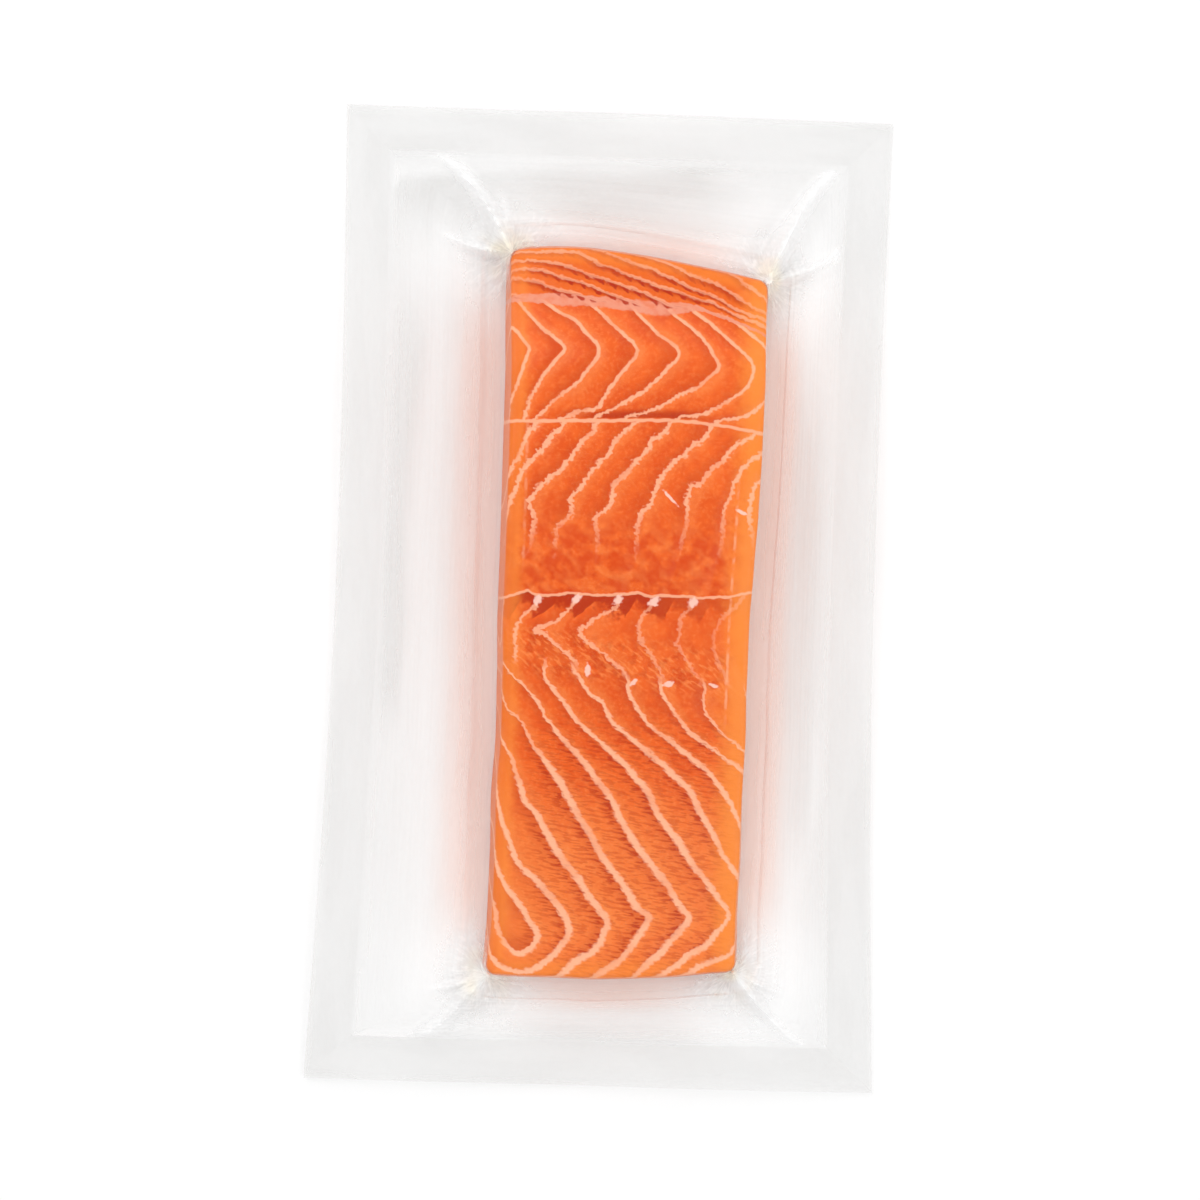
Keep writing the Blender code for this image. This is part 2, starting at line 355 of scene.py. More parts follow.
def makeStage():
    bpy.ops.object.select_all(action="DESELECT")
    bpy.ops.mesh.primitive_plane_add(size=stageSet["floorSize"], location=(0, 0, -stageSet["floorGap"]))
    floor = bpy.context.object
    floor.name = "floor"
    shader = Shader("palePaper")
    paper = shader.node("ShaderNodeBsdfDiffuse", {}, {"Color": stageSet["floorColour"]})
    shader.tree.links.new(paper.socket, shader.tree.nodes["Material Output"].inputs["Surface"])
    shader.tree.nodes.remove(shader.principled)
    floor.data.materials.append(shader.material)

    world = bpy.data.worlds.new("studio")
    world.use_nodes = True
    sky = world.node_tree.nodes["Background"].inputs
    sky["Strength"].default_value = stageSet["worldStrength"]
    sky["Color"].default_value = stageSet["worldColour"]
    bpy.context.scene.world = world
    for place, size, power in stageSet["lights"]:
        bpy.ops.object.light_add(type="AREA", location=place)
        lamp = bpy.context.object
        lamp.data.shape = "RECTANGLE"
        lamp.data.size, lamp.data.size_y = size
        lamp.data.energy = power
        lamp.rotation_euler = (-Vector(place)).to_track_quat("-Z", "Y").to_euler()

    bpy.ops.object.camera_add(location=stageSet["cameraPlace"])
    camera = bpy.context.object
    toAim = (Vector(stageSet["cameraAim"]) - Vector(stageSet["cameraPlace"])).normalized()
    tip = math.asin(toAim.y)
    camera.rotation_euler = (tip, math.asin(-toAim.x / math.cos(tip)), 0.0)
    camera.data.lens = stageSet["lens"]
    bpy.context.scene.camera = camera
    bpy.context.scene.view_settings.view_transform = "Standard"


makeStage()
print("stage: camera, floor and lights")


# The salmon portion

portion = {
    "cells": (96, 256),  # across and along its top
    "crowding": 0.35,
    "shoulderRings": 6,
    "wallRings": 9,
    "bottomRings": 4,
    "filmGap": 0.25,  # the film and juice over the flesh, in millimetres
    "shoulderRadius": 1.4,
    "bottomRadius": 1.6,
    "wallInset": 0.1,  # between the film and the flesh at the cut faces
    "flakeRise": 0.25,
    "lineGroove": 0.1,
    "unevenness": 0.25,
    "leanOfLines": 0.6,  # how far the lines lean outwards with depth
    "wander": (0.3, 6.0),  # of the lines: how far, and over what length
    "lineStep": 2.2,
    "lineSoftness": 1.6,
    "leastSteepness": 0.02,
    "wallSpreadShare": 0.6,
    "unevenSize": 9.0,
    "grooveReach": 0.08,
}

# Lines of the muscle, followed from end to end in millimetres on the plan, each with its number.
# A point that stands alone holds a number between two lines.
muscleLines = {
    "back": (
        (0, ((-26, 82.3), (-22, 81.8), (-19, 81.2), (-16, 80.9), (-13, 79.5), (-10, 78.5), (-6, 77.4),
         (-2, 76.3), (2, 75.3))),
        (1, ((-26, 84), (-18, 83.9), (-14, 83.6), (-12, 82.9), (-9, 81.8), (-6, 81), (-3, 79.9), (0, 78.7),
         (3, 77.6), (6, 76.4), (9, 75.3))),
        (2, ((-26, 86.3), (-17, 86.2), (-13, 85.9), (-9.5, 85.4), (-6.5, 84.4), (-3.5, 83), (0, 82.2),
         (3, 81), (6, 79.9), (9, 78.9), (11.5, 77.8), (14, 76.5), (17, 75))),
        (3, ((-26, 88.7), (-8, 88.7), (-5, 88), (-2.5, 86.8), (0, 85.5), (3, 84.9), (5.8, 83.2),
         (8.8, 82.2), (11.5, 80.9), (14.7, 79.5), (18, 78.6), (21, 77.7), (24.5, 76.4), (28, 75.6),
         (31, 73.9), (34, 72.5), (38, 70.9), (44, 68.3))),
        (4, ((-8, 91.5), (0, 89.2), (3.8, 87.7), (7, 86.5), (9.7, 85.2), (12.9, 84.3), (15.6, 82.9),
         (18.5, 81.8), (21.2, 80.2), (24.3, 78.8), (27.9, 77.5), (30.7, 76), (33.5, 74.3), (37, 72.9),
         (44, 70.2))),
        (5, ((4, 90.8), (9, 88.7), (12.5, 87.5), (16.1, 86.4), (19.3, 85), (21.6, 83.4), (24.8, 82.1),
         (28, 80.9), (31.1, 79.5), (34.3, 77.5), (37, 75.7), (39.8, 73.9), (44, 72.2))),
        (6, ((18, 89.8), (24, 87), (26.5, 85.4), (31.5, 84.2), (34.3, 82.7), (37, 80.4), (39.8, 78.6),
         (44, 76))),
    ),
    "loin": (
        (-0.6, ((-22.6, 62.5),)),
        (0, ((-24.5, 69.5), (-22, 68.3), (-20, 66), (-18.3, 63.5), (-19.3, 60.5), (-20.5, 57.5),
         (-22, 54.5), (-23.5, 51), (-24.5, 47))),
        (1, ((-21.5, 76.5), (-18.7, 72.5), (-15.7, 69.3), (-12, 66.4), (-9.4, 64), (-10.4, 62.4),
         (-12.5, 60.2), (-14.8, 57), (-17, 53.4), (-18.7, 50.3), (-19.5, 47.5), (-20.2, 44.5))),
        (2, ((-15.5, 76.5), (-13, 74.5), (-10.3, 72.5), (-6.8, 70.7), (-4.3, 68), (-2.1, 65.6), (-1.1, 64),
         (-1.2, 61.8), (-3.2, 59), (-5.4, 56.1), (-8.2, 53.6), (-11.4, 51.3), (-14.4, 48.4), (-16.6, 46),
         (-18, 44.5))),
        (3, ((-5, 76.5), (-2, 74.2), (0.2, 72), (2.9, 69.3), (5.9, 66.5), (8.4, 64.2), (8.8, 62),
         (6.5, 59.3), (3.9, 56.5), (1.5, 53.5), (0, 51), (-1.4, 48.7), (-4.3, 47.9), (-7.5, 47.2),
         (-11, 45.6))),
        (4, ((6.5, 75.5), (9.7, 72), (11.5, 70.2), (14, 67.2), (17, 65), (19.4, 62.8), (19, 61.5),
         (16.5, 59), (14, 56), (11.1, 53.5), (7.4, 51.3), (4, 49.2), (1.3, 47.8), (-2, 46.2))),
        (5, ((15.5, 75.5), (18.8, 72.2), (21.1, 70.3), (24.2, 67.6), (26.4, 65), (28.1, 62), (29.4, 60),
         (29.3, 58.4), (26.5, 56.1), (23.2, 53.3), (19.2, 51.9), (16.1, 49.6), (13, 48.4), (10.1, 47.3),
         (6, 46.2))),
        (6, ((21.5, 75), (24.3, 72.7), (27, 70.6), (30, 67.8), (33, 65.1), (35.8, 62.2), (37.6, 60),
         (37.8, 57), (36.4, 54.2), (33.9, 51.9), (31.5, 50.1), (28.2, 47.9), (25.1, 46.7), (20, 46.2))),
        (7, ((31, 73), (36, 69), (41, 65), (45.5, 60), (45.5, 55), (42.2, 51), (40, 48.9), (37.3, 46.7),
         (33.4, 45.6), (29, 45))),
    ),
    "middle": (
        (0, ((-14.5, 47), (-16.6, 44.8), (-19, 42), (-20, 39.5), (-21.5, 36), (-24, 32))),
        (1, ((-9, 46.5), (-10.9, 43.5), (-13.2, 41.6), (-14.5, 39.2), (-17.2, 36.5), (-19.3, 34.4),
         (-20.6, 32.2), (-21.6, 29), (-24, 24), (-26, 18))),
        (2, ((-0.5, 46.5), (-3.1, 42), (-5.3, 40.3), (-6.7, 38), (-8.6, 35.8), (-10.6, 33.2), (-13, 31.3),
         (-15.5, 29.1), (-17, 27.2), (-18.9, 25.3), (-18, 22.8), (-17.3, 20.3), (-18, 14))),
        (3, ((9.5, 46.5), (7.7, 44.6), (5.4, 42.7), (3.3, 40.9), (2.4, 39.2), (1.3, 37), (-1, 35.1),
         (-2.8, 32.8), (-4.4, 31), (-4.6, 29), (-6, 27.9), (-8.3, 26.6), (-8.2, 24), (-8.3, 21.5),
         (-10, 20), (-11.6, 19), (-11.8, 16.5), (-12, 12))),
        (4, ((18, 46.5), (15.8, 42.2), (12.5, 40.3), (11.4, 38), (9.5, 35.8), (7.3, 34), (5.9, 32),
         (4.1, 30.2), (2.3, 28.7), (2.3, 26.5), (1.6, 24.1), (-0.1, 22.1), (-1.8, 21.1), (-1.8, 18),
         (-1.2, 15), (-1.5, 11.5), (-2.2, 8))),
        (5, ((28.5, 46.5), (26.4, 42.2), (25.1, 40.2), (21.9, 38.6), (20.5, 36.5), (17.4, 35), (16.3, 33.2),
         (15.2, 31.1), (13.8, 29.9), (13, 27.3), (12, 24.2), (10, 22.4), (9, 19.5), (8.5, 14))),
        (6, ((44, 45.5), (38.2, 41.8), (34, 39.3), (31.8, 37.5), (30, 34.9), (27.8, 33.3), (25.8, 31.4),
         (25, 29.2), (22.6, 29.2), (21.6, 27), (21.3, 24.5), (21, 20), (20, 14))),
        (7, ((47, 40), (38.7, 36.3), (35.9, 34), (33.9, 31.4), (32.8, 28.3), (32.2, 26), (30.6, 23.8),
         (30, 20), (30, 14))),
        (8, ((44, 33), (38.5, 28.8), (37.6, 25.5), (37.2, 20), (38, 14))),
    ),
    "bones": (
        (0, ((-25.5, 1), (-27, -4), (-28.5, -10))),
        (1, ((-15.6, 2.5), (-16.6, -0.8), (-19, -3), (-21, -5), (-22.3, -8), (-22, -13))),
        (2, ((-5.3, 2.5), (-7.2, -0.8), (-9, -2.5), (-10.7, -4.7), (-13.5, -6.5), (-17.2, -7.6),
         (-14.3, -8.7), (-12.3, -10.7), (-9.8, -12.6), (-7, -15.5))),
        (3, ((4.4, 2.5), (3.4, -1.6), (1, -3.1), (-1.6, -4.5), (-3.5, -6.5), (-6.3, -8.2), (-4, -10.2),
         (-1, -12.6), (2, -15), (5, -17.8))),
        (4, ((14.2, 2.5), (13, -1.6), (11.5, -2.8), (9.5, -5), (8.8, -7.5), (9.8, -10), (12, -13),
         (14.8, -18))),
        (5, ((23.7, 2.5), (22.7, -1), (21.4, -2.4), (19.9, -4.9), (19.6, -8), (18.8, -11.3), (21, -14.5),
         (24.5, -20))),
        (6, ((37, 2.5), (34.3, -1), (31, -3.5), (29.3, -6), (27.9, -9), (28.5, -14), (32, -22))),
    ),
    "belly": (
        (-0.45, ((-21.2, -83),)),
        (-0.3, ((-23.6, -79),)),
        (-0.2, ((-20.8, -86.6),)),
        (-0.25, ((-26.3, -73.6),)),
        (0, ((-29.5, -61), (-27.8, -64.5), (-26, -69), (-24.3, -72.4), (-22.3, -75.5), (-20.4, -78.4),
         (-18.9, -81), (-17, -83.3), (-16, -85), (-16.8, -87), (-18.5, -89), (-20.6, -90.1), (-22.6, -89.5),
         (-24.1, -87.7), (-25.4, -85.4), (-26.4, -82.8), (-26.7, -79.5), (-27.6, -76.8), (-30, -75.5))),
        (1, ((-28, -46), (-26.6, -50), (-25.8, -54), (-25, -57), (-24, -60), (-22, -64.8), (-21, -67),
         (-19, -69.3), (-16.4, -71.6), (-14, -74), (-12, -76.3), (-10.2, -78.5), (-9, -80.6), (-8, -83),
         (-8.1, -85), (-9.6, -87.3), (-11.5, -89.6), (-13.6, -91.6), (-16.1, -93.3), (-19, -94.5),
         (-22, -94.7), (-25, -93.7), (-27.5, -91.7), (-29.3, -88.5))),
        (2, ((-27.5, -33), (-25.2, -36), (-23.9, -37.8), (-22.9, -40.2), (-22.2, -42.5), (-21.3, -45.3),
         (-20.2, -48), (-20, -50), (-18.9, -52.1), (-16.7, -54.3), (-15.3, -57), (-13.8, -59.7),
         (-12, -62.7), (-10.2, -65.3), (-8.3, -68), (-6.3, -70.7), (-4.5, -73.3), (-2.7, -76), (-1, -78.3),
         (0.7, -80.3), (1.8, -82), (1, -84), (0.2, -86), (-1.2, -88.3), (-3.2, -90.3), (-6, -91.8),
         (-8.5, -93.8), (-12, -97))),
        (3, ((-27, -20), (-25.6, -24), (-23.8, -27.9), (-22, -29), (-20.6, -30.4), (-19.3, -32.7),
         (-18.1, -34.7), (-17.2, -37), (-15.6, -38.9), (-13.9, -41.2), (-12.4, -43.5), (-10.6, -46.1),
         (-9.3, -48.8), (-8, -51), (-6.5, -53.8), (-5, -56.5), (-3.4, -58.7), (-1.9, -61.3), (-0.5, -64),
         (1, -66.3), (2.7, -68.6), (4.7, -71), (6.5, -73.5), (8, -76), (9.3, -78.2), (11, -79.7),
         (12.2, -80.7), (11.3, -83), (9.5, -85.7), (7.7, -88), (5.7, -90.5), (3, -93), (0.3, -95),
         (-2, -97))),
        (4, ((-25.5, -16), (-22.7, -19.2), (-21.1, -20.6), (-18.9, -22.8), (-17, -25.1), (-15.4, -27.3),
         (-14.3, -29.5), (-12.5, -31.6), (-11.1, -33.8), (-9.3, -35.9), (-7.3, -38), (-5.3, -40),
         (-3.5, -42.4), (-1.8, -44.8), (0, -47), (1.7, -49), (2.9, -51.5), (4, -54), (5, -56.3), (6.7, -59),
         (8.3, -61.5), (10, -64), (12, -66.3), (13.8, -68.7), (15.6, -71.2), (17.3, -73.7), (19, -76.2),
         (20.5, -78.5), (22.3, -80.4), (21.3, -83), (19.3, -85.3), (17.2, -87.5), (15.2, -89.8),
         (12.5, -92), (10.3, -94.3), (8, -97))),
        (5, ((-15.8, -11), (-14.7, -14), (-14.5, -16), (-15.2, -18.5), (-14.2, -20.4), (-12.2, -22.3),
         (-10.4, -24.6), (-8.9, -26.8), (-7.5, -29), (-5.8, -31), (-3.6, -33), (-1.1, -35.2), (1, -37.1),
         (2.9, -39.1), (5.2, -41.2), (7.3, -43.2), (9, -45.5), (11.1, -47.6), (12.3, -50.1), (13.4, -52.1),
         (14.5, -54.2), (15.7, -56.3), (17.5, -59), (19.5, -61.7), (21.5, -64.3), (23.4, -67),
         (25.2, -69.5), (27, -72), (28.8, -74.5), (30.5, -76.8), (32.2, -79), (33, -80.7), (31.5, -83),
         (29.3, -85.3), (27.3, -87.5), (25, -89.3), (22, -90.8), (19.7, -93), (16.8, -95), (14.5, -97))),
        (6, ((-9, -11.5), (-8.1, -15), (-7.2, -18), (-5.5, -20.3), (-4.5, -22.2), (-3.1, -23.9),
         (-0.7, -25.1), (0.8, -27), (1.9, -29.8), (3.5, -31.9), (5.9, -33.9), (8.1, -35.7), (10.6, -37.7),
         (13.1, -39.5), (15.3, -41.3), (17, -43.3), (19, -45.3), (21, -47.3), (22.8, -49.6), (24, -52),
         (25.3, -54.2), (27, -57.3), (28.6, -60.5), (30, -63.3), (31.7, -66), (33.7, -68.7), (35.5, -71),
         (38, -75), (41, -80), (38, -85), (35, -88), (32.3, -90.7), (28.5, -92.3), (24.7, -93.7),
         (21, -97))),
        (7, ((3, -14.5), (5.2, -17.5), (6.4, -20), (6.3, -23.3), (7.3, -25.6), (8.9, -27.5), (10.7, -29.6),
         (12.3, -31.9), (14.6, -33.7), (17.3, -35.6), (19.8, -37.6), (22.2, -39.4), (24.5, -41.3),
         (27, -43.4), (29.2, -46.1), (31.2, -48.7), (32.7, -51.2), (34, -54), (35.2, -56.5), (37.5, -61),
         (41, -68))),
        (8, ((11.5, -15), (14, -18.5), (14.8, -21), (14.9, -23.1), (16, -25.1), (17.5, -26.9), (18.7, -29),
         (20.4, -31.1), (22.1, -33.1), (25, -35.2), (28, -37.4), (31, -39.8), (34, -42.2), (39, -46.5))),
        (9, ((23, -15.5), (25.3, -19), (25.9, -22.8), (25.7, -26.2), (26.5, -29), (28.5, -31),
         (30.4, -33.5), (33.5, -36.2), (39, -41))),
    ),
}

# Lines across the fish: pairs of x and y, and for the strip also half its thickness.
crossLines = {
    "strip": ((-26, 75.6, 0.4), (-20, 76.6, 1), (-12, 76.4, 1.6), (0, 75.5, 1.4), (8, 74.6, 1.6),
              (12, 74.1, 1.9), (16, 73.8, 1.8), (20, 74.2, 1.5), (24, 74.2, 0.8), (28, 72.8, 0.45),
              (32, 71.3, 0.4), (36, 69.8, 0.4), (40, 68, 0.4), (44, 65.3, 0.4)),
    "septum": ((-26, 45.2), (16.7, 45.4), (24.2, 44.8), (33.5, 43.5), (44, 41.3)),
    "boneLine": ((-26, 0.4), (-21, 1.9), (-18.9, 2.6), (-16.8, 1.3), (-13, 1.2), (-8.2, 1.9), (-3, 1.4),
                 (2, 1.4), (9, 1.8), (12, 0.9), (16, 1.3), (24, 0.6), (32, 0.8), (38, 2)),
    "fold": ((-26, -15), (-8, -16.5), (6.6, -19.3), (15.6, -20.7), (26, -21.2), (38, -23)),
}


def evenlyAlong(points, spacing):  # points at even distances along a line
    points = np.array(points)
    places = np.concatenate(([0.0], np.cumsum(np.hypot(*np.diff(points, axis=0).T))))
    wanted = np.linspace(0.0, places[-1], int(round(places[-1] / spacing)) + 1)
    return np.column_stack([np.interp(wanted, places, points[:, i]) for i in (0, 1)])


def fieldThrough(lines):  # smooth, with each line's number all along that line
    pieces = [evenlyAlong(points, portion["lineStep"]) for _, points in lines]
    numbers = np.concatenate([np.full(len(piece), number) for piece, (number, _) in zip(pieces, lines)])
    centres = np.concatenate(pieces)
    apart = centres[:, None] - centres[None]
    kernel = np.sqrt((apart ** 2).sum(2) + portion["lineSoftness"] ** 2)
    return centres, np.linalg.lstsq(kernel, numbers, rcond=1e-9)[0]


def readField(field, x, y):  # its value, and how fast that changes with each millimetre
    centres, weights = field
    value, steep = np.empty_like(x), np.empty_like(x)
    for some in np.array_split(np.arange(len(x)), 1 + len(x) // 4000):
        offX, offY = x[some, None] - centres[:, 0], y[some, None] - centres[:, 1]
        far = np.sqrt(offX ** 2 + offY ** 2 + portion["lineSoftness"] ** 2)
        value[some] = far @ weights
        steep[some] = np.hypot((offX / far) @ weights, (offY / far) @ weights)
    return value, np.maximum(steep, portion["leastSteepness"])


def musclePhases(x, y):  # each band's field, and how steep it is
    far, size = portion["wander"]
    x, y = x + far * softNoise(x, y, size, 3), y + far * softNoise(x, y, size, 4)
    return zip(*[readField(field, x, y) for field in muscleFields.values()])


muscleFields = {band: fieldThrough(lines) for band, lines in muscleLines.items()}


def aboveLine(name, x, y):  # signed distance above a line across the fish
    points = np.array(crossLines[name])
    return y - np.interp(x, points[:, 0], points[:, 1])


def nearLine(phase):  # 0 on a line, 0.5 half way between two
    return abs(phase - np.round(phase))


def placePortion(across, down, ring):
    form = portion
    counts = form["shoulderRings"], form["wallRings"], form["bottomRings"]
    top = fishHeight(across, down) - form["filmGap"]
    spread, low = form["wallSpreadShare"] * packForm["wallSpread"], form["bottomRadius"]
    grow, height = sideProfile(ring, counts, top, form["shoulderRadius"], spread, -low, form["filmGap"] + low)
    grow = grow - form["wallInset"]
    plan = fishPlan(across, down, grow)
    step = 0.5
    outward = fishPlan(across, down, grow + step) - plan
    outward = outward / np.maximum(np.hypot(outward[:, 0], outward[:, 1]), 1e-6)[:, None]
    return plan[:, 0], plan[:, 1], height, top, outward


def bandedNearness(phases, strip, septum, bone):  # distance to the nearest line of the band that shows
    nearness = nearLine(phases[4])
    for phase, border in ((phases[2], bone), (phases[1], septum), (phases[0], strip)):
        nearness = nearness + (nearLine(phase) - nearness) * smoothStep(border / 2 + 0.5)
    return nearness


def makePortion():
    cellsAcross, cellsAlong = portion["cells"]
    rings = portion["shoulderRings"] + portion["wallRings"] + portion["bottomRings"]
    upper = tray("salmonPortion", cellsAcross, cellsAlong, rings)
    lower = tray("salmonUnderside", cellsAcross, cellsAlong, 0)
    for piece in (upper, lower):
        across, down, ring = gridShares(piece, portion["crowding"])
        if piece is lower:
            ring[:] = rings
        x, y, z, top, outward = placePortion(across, down, ring)
        depth = top - z
        if piece is lower:  # the bottom is flat all over
            z[:] = portion["filmGap"]
        lean = portion["leanOfLines"] * np.where(ring > 0, depth, 0)
        if piece is lower:  # and its lines lean only near its border
            lean = lean * np.maximum(abs(2 * across - 1), abs(2 * down - 1)) ** 5
        phases, steep = musclePhases(x + lean * outward[:, 0], y + lean * outward[:, 1])
        strip, septum = aboveLine("strip", x, y), aboveLine("septum", x, y)
        bone, fold = aboveLine("boneLine", x, y), aboveLine("fold", x, y)
        nearness = bandedNearness(phases, strip, septum, bone)
        topShare = np.clip(1 - depth / portion["shoulderRadius"], 0, 1) if piece is upper else 0.0
        relief = portion["flakeRise"] * (4 * nearness * (1 - nearness) - 0.6)
        relief = relief - portion["lineGroove"] * bell(nearness / portion["grooveReach"])
        relief = relief + portion["unevenness"] * softNoise(x, y, portion["unevenSize"], 7)
        placePoints(piece, np.column_stack((x, y, z + topShare * relief)))
        thickness = np.interp(x, *np.array(crossLines["strip"])[:, [0, 2]].T)
        giveValues(piece, "upperLines", phases[:3])
        giveValues(piece, "upperSteepness", steep[:3])
        giveValues(piece, "lowerLines", (phases[3], phases[4], fold))
        giveValues(piece, "lowerSteepness", (steep[3], steep[4], thickness))
        giveValues(piece, "borders", (strip, septum, bone))
        giveValues(piece, "places", (across, down, 0 * depth))
    return joinRims(upper, lower)


fleshLook = {
    "orange": colour(236, 100, 34),
    "red": colour(214, 66, 14),
    "amber": colour(226, 100, 10),
    # deep red flesh, also used for the painted shade beside and under the lines
    "deepRed": colour(176, 40, 6),
    # paler flesh, also used for the painted light right of each line
    "light": colour(250, 146, 78),
    "edge": colour(249, 142, 58),
    "line": colour(255, 184, 146),
    "strip": colour(232, 148, 120),
    "bone": colour(255, 206, 190),
    "roughness": 0.36,
    "specular": 0.12,
    "coatWeight": 0.05,
    "coatRoughness": 0.12,
    "reliefDepth": 0.00018,
    "reliefStrength": 0.6,
    "noises": {  # scale, detail and roughness
        "slow": (90.0, 1.0, 0.5),
        "medium": (330.0, 2.0, 0.5),
        "fine": (1100.0, 1.0, 0.6),
        "jag": (520.0, 1.0, 0.5),
        "tinyJag": (1350.0, 0.0, 0.5),
    },
    "lines": {  # of each band: half width, raggedness, size of their teeth, strength
        "back": (0.42, 0.5, 0.2, 0.6),
        "loin": (0.46, 1.0, 0.4, 0.9),
        "middle": (0.6, 0.8, 0.35, 0.9),
        "bones": (0.5, 0.8, 0.35, 1.0),
        "belly": (1.0, 0.4, 0.35, 1.0),
    },
    "lineTeeth": (1.7, 0.22, 0.8),  # spacing, slant, unevenness
    "borders": {  # between the bands: raggedness, and where each starts and ends
        "strip": (0.4, -0.3, 0.3),
        "septum": (0.3, -0.2, 0.2),
        "bone": (0.4, -0.2, 0.2),
        "fold": (1.8, -1.5, 2.0),
    },
}

# Where each change of the flesh starts and is complete, in millimetres along x or y or from a line or edge.
fleshReach = {
    "middleLinesY": (9.0, 25.0),
    "boneLinesX": (-10.0, 30.0),
    "wideLinesY": (-28.0, -50.0),
    "thinRightX": (20.0, 34.0),
    "thinLeftX": (-12.0, -24.0),
    "raggedOverSeptum": (15.0, 5.0),
    "paleBellyY": (-38.0, -66.0),
    "hairsY": (-22.0, -40.0),
    "hairsX": (-26.0, -12.0),
    "slitOverSeptum": (0.3, 0.9),
    "slitTop": (1.4, 3.2),
    "slitFromMiddle": (8.0, 22.0),
    "smoothBandY": (24.0, 14.0),
    "wedgeFadeX": (8.0, 30.0),
    "featherFromFold": (3.0, 8.0),
    "teethOverStrip": (3.5, 8.5),
    "teethFromMiddle": (13.0, 30.0),
    "paleFromLeft": (0.5, 5.0),
    "paleFromRight": (0.8, 8.5),
    "paleFromTop": (0.5, 3.5),
    "paleFromBottom": (0.5, 5.0),
    "shadeFromLeft": (0.2, 1.8),
    "dotsStartX": (-22.5, -20.0),
    "dotsEndX": (26.0, 29.0),
}

# How strongly each change of the flesh's colour shows.
fleshStrength = {
    "red": 0.5,
    "specks": 0.25,
    "paleBelly": 0.4,
    "amber": 0.55,
    # painted light right of each line, and painted shade left of it
    "paintedLightRight": 0.4,
    "paintedShadeLeft": 0.38,
    # painted shade under the back's lines
    "underBack": 0.55,
    "hairs": 0.3,
    "slit": 0.75,
    "smoothBand": 0.65,
    "patches": 0.28,
    "wedge": 0.85,
    "barbs": 0.5,
    "featherDark": 0.25,
    "paleLeft": 0.6,
    "paleRight": 0.85,
    "paleEnds": 0.5,
    # painted shade along the left edge
    "paintedShadeLeftEdge": 0.2,
    "lines": 0.92,
    "crossLines": 0.85,
    "strip": 0.95,
    "teeth": 0.9,
    "marks": 0.85,
    "creases": 0.5,
}

# Small pale marks of bone: place, direction in degrees, half length and half width.
boneMarks = (
    (-3.7, -17.6, 95.0, 1.7, 0.7), (7.8, -20.7, 50.0, 1.3, 0.65), (16.7, -21.2, 15.0, 1.3, 0.65),
    (28.3, -21.7, -20.0, 1.3, 0.5), (17.1, 25.7, -47.0, 2.9, 0.4), (34.9, 22.3, -25.0, 1.6, 0.45),
)

# Pale creases along the cut edges: distance from the edge, middle along y, reach from there, share.
creases = {
    "left": (3.3, 28.0, (14.0, 22.0), 0.6),
    "right": (4.3, 0.0, (24.0, 34.0), 1.0),
}


